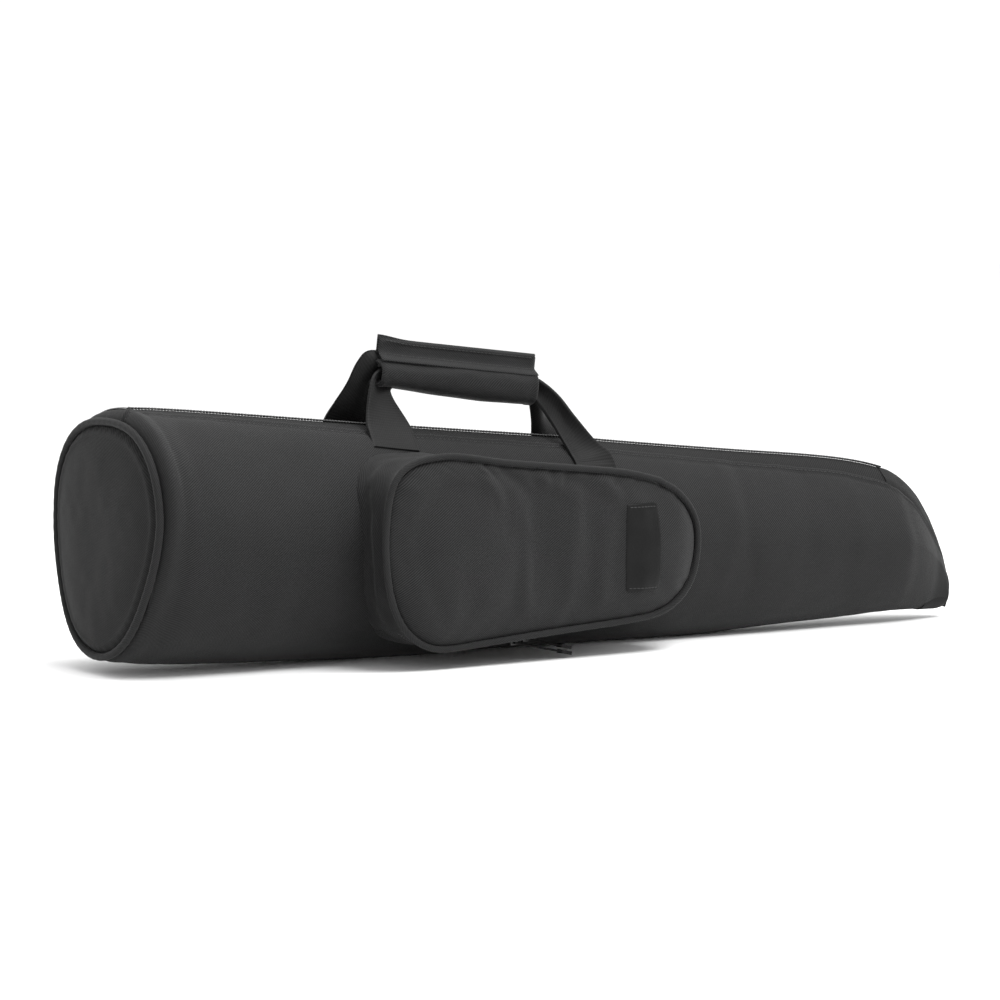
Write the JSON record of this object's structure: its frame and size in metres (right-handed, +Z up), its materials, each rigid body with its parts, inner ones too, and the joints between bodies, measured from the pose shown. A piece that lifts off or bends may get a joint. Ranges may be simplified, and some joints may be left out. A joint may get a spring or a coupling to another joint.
{
  "type": "telescope carry case",
  "caption": "Tapered padded soft case with a ridge zip, a stiff round end, a webbing handle with a wrap grip and a zipped front pocket.",
  "frame": {"origin": "on the floor under the case, in the plane of the main zip, where the underside lies flat", "axes": "+X along the case from the round end towards the narrow nose, +Y to the back, +Z up; the pocket is on the -Y side"},
  "size_m": [0.739, 0.2048, 0.2294],
  "materials": {
    "shell_fabric": "matte twill",
    "lining": "plain weave",
    "foam": "closed-cell foam",
    "zip_tape": "woven tape",
    "zip_coil": "satin nylon coil",
    "webbing": "ribbed webbing",
    "piping": "bound cord",
    "slider_metal": "semi-gloss black",
    "hook_and_loop": "napped",
    "cord": "braided",
    "cord_tip": "moulded satin",
    "board": "stiff fibreboard",
    "label": "embossed semi-gloss"
  },
  "bodies": {
    "shell": {"cover_panel": "shell_fabric", "body_foam": "foam", "body_lining": "lining", "nose_strip": "shell_fabric", "zip_tape_front": "zip_tape", "zip_coil_front": "zip_coil", "end_cover": "shell_fabric", "end_foam": "foam", "end_board": "board", "end_lining": "lining", "end_piping": "piping", "ear_tab": "shell_fabric", "zip_stop": "zip_tape", "front_strap_feet": "webbing", "pocket_rear_gusset": "shell_fabric", "pocket_top_gusset": "shell_fabric", "pocket_left_gusset": "shell_fabric", "pocket_tape_in": "zip_tape", "pocket_coil_in": "zip_coil"},
    "rear_flap": {"flap_panel": "shell_fabric", "flap_foam": "foam", "flap_lining": "lining", "zip_tape_rear": "zip_tape", "zip_coil_rear": "zip_coil", "rear_strap_feet": "webbing"},
    "rear_handle": {"rear_strap": "webbing"},
    "front_handle": {"front_strap": "webbing", "grip_wrap": "shell_fabric", "grip_foam": "foam", "hook_strip": "hook_and_loop"},
    "wrap_leaf": {"grip_flap": "shell_fabric", "loop_strip": "hook_and_loop"},
    "main_slider": {"main_slider": "slider_metal"},
    "main_puller": {"main_puller": "slider_metal"},
    "pocket_lid": {"pocket_face": "shell_fabric", "pocket_foam": "foam", "pocket_lining": "lining", "pocket_piping": "piping", "pocket_front_gusset": "shell_fabric", "pocket_tape_out": "zip_tape", "pocket_coil_out": "zip_coil", "label": "label"},
    "pocket_slider_a": {"pocket_slider_a": "slider_metal"},
    "pocket_slider_b": {"pocket_slider_b": "slider_metal"},
    "pull_a": {"pull_cord_a": "cord", "pull_tip_a": "cord_tip"},
    "pull_b": {"pull_cord_b": "cord", "pull_tip_b": "cord_tip"}
  },
  "joints": [
    {"name": "rear_flap_hinge", "type": "hinge", "parent": "shell", "child": "rear_flap", "pos_m": [-0.345, 0.0865, 0.092], "axis": [-0.9964, 0.0726, 0.0432], "range_deg": [0, 110]},
    {"name": "front_handle_fold", "type": "hinge", "parent": "shell", "child": "front_handle", "pos_m": [-0.08516, -0.029, 0.14788], "axis": [0.994, 0, -0.1097], "range_deg": [0, 100], "deforming": ["rear_strap"]},
    {"name": "rear_handle_fold", "type": "hinge", "parent": "rear_flap", "child": "rear_handle", "pos_m": [-0.08516, 0.029, 0.14788], "axis": [-0.994, 0, 0.1097], "range_deg": [0, 40]},
    {"name": "wrap_leaf_open", "type": "hinge", "parent": "front_handle", "child": "wrap_leaf", "pos_m": [-0.07869, -0.0036, 0.20643], "axis": [0.994, 0, -0.1097], "range_deg": [0, 85]},
    {"name": "main_slider_travel", "type": "hinge", "parent": "shell", "child": "main_slider", "pos_m": [-0.345, 0, 0.0973], "axis": [1, 0, 0], "range_deg": [0, 85]},
    {"name": "main_puller_swing", "type": "hinge", "parent": "main_slider", "child": "main_puller", "pos_m": [-0.345, 0.09097, 0.08227], "axis": [1, 0, 0], "range_deg": [0, 140]},
    {"name": "pocket_lid_hinge", "type": "hinge", "parent": "shell", "child": "pocket_lid", "pos_m": [-0.14265, -0.09737, 0.151], "axis": [-0.9897, -0.0593, 0.1306], "range_deg": [0, 40], "deforming": ["pocket_left_gusset"]},
    {"name": "pocket_slider_a_travel", "type": "slide", "parent": "shell", "child": "pocket_slider_a", "axis": [-0.9959, -0.0597, -0.068], "range_m": [0, 0.055]},
    {"name": "pocket_slider_b_travel", "type": "slide", "parent": "shell", "child": "pocket_slider_b", "axis": [0.9959, 0.0597, 0.068], "range_m": [0, 0.06]},
    {"name": "pull_a_lift", "type": "hinge", "parent": "pocket_slider_a", "child": "pull_a", "pos_m": [-0.08483, -0.08559, 0.0137], "axis": [0.0598, -0.9982, 0], "range_deg": [0, 14]},
    {"name": "pull_b_lift", "type": "hinge", "parent": "pocket_slider_b", "child": "pull_b", "pos_m": [-0.07028, -0.0783, 0.01472], "axis": [0.0598, -0.9982, 0], "range_deg": [0, 14]}
  ]
}
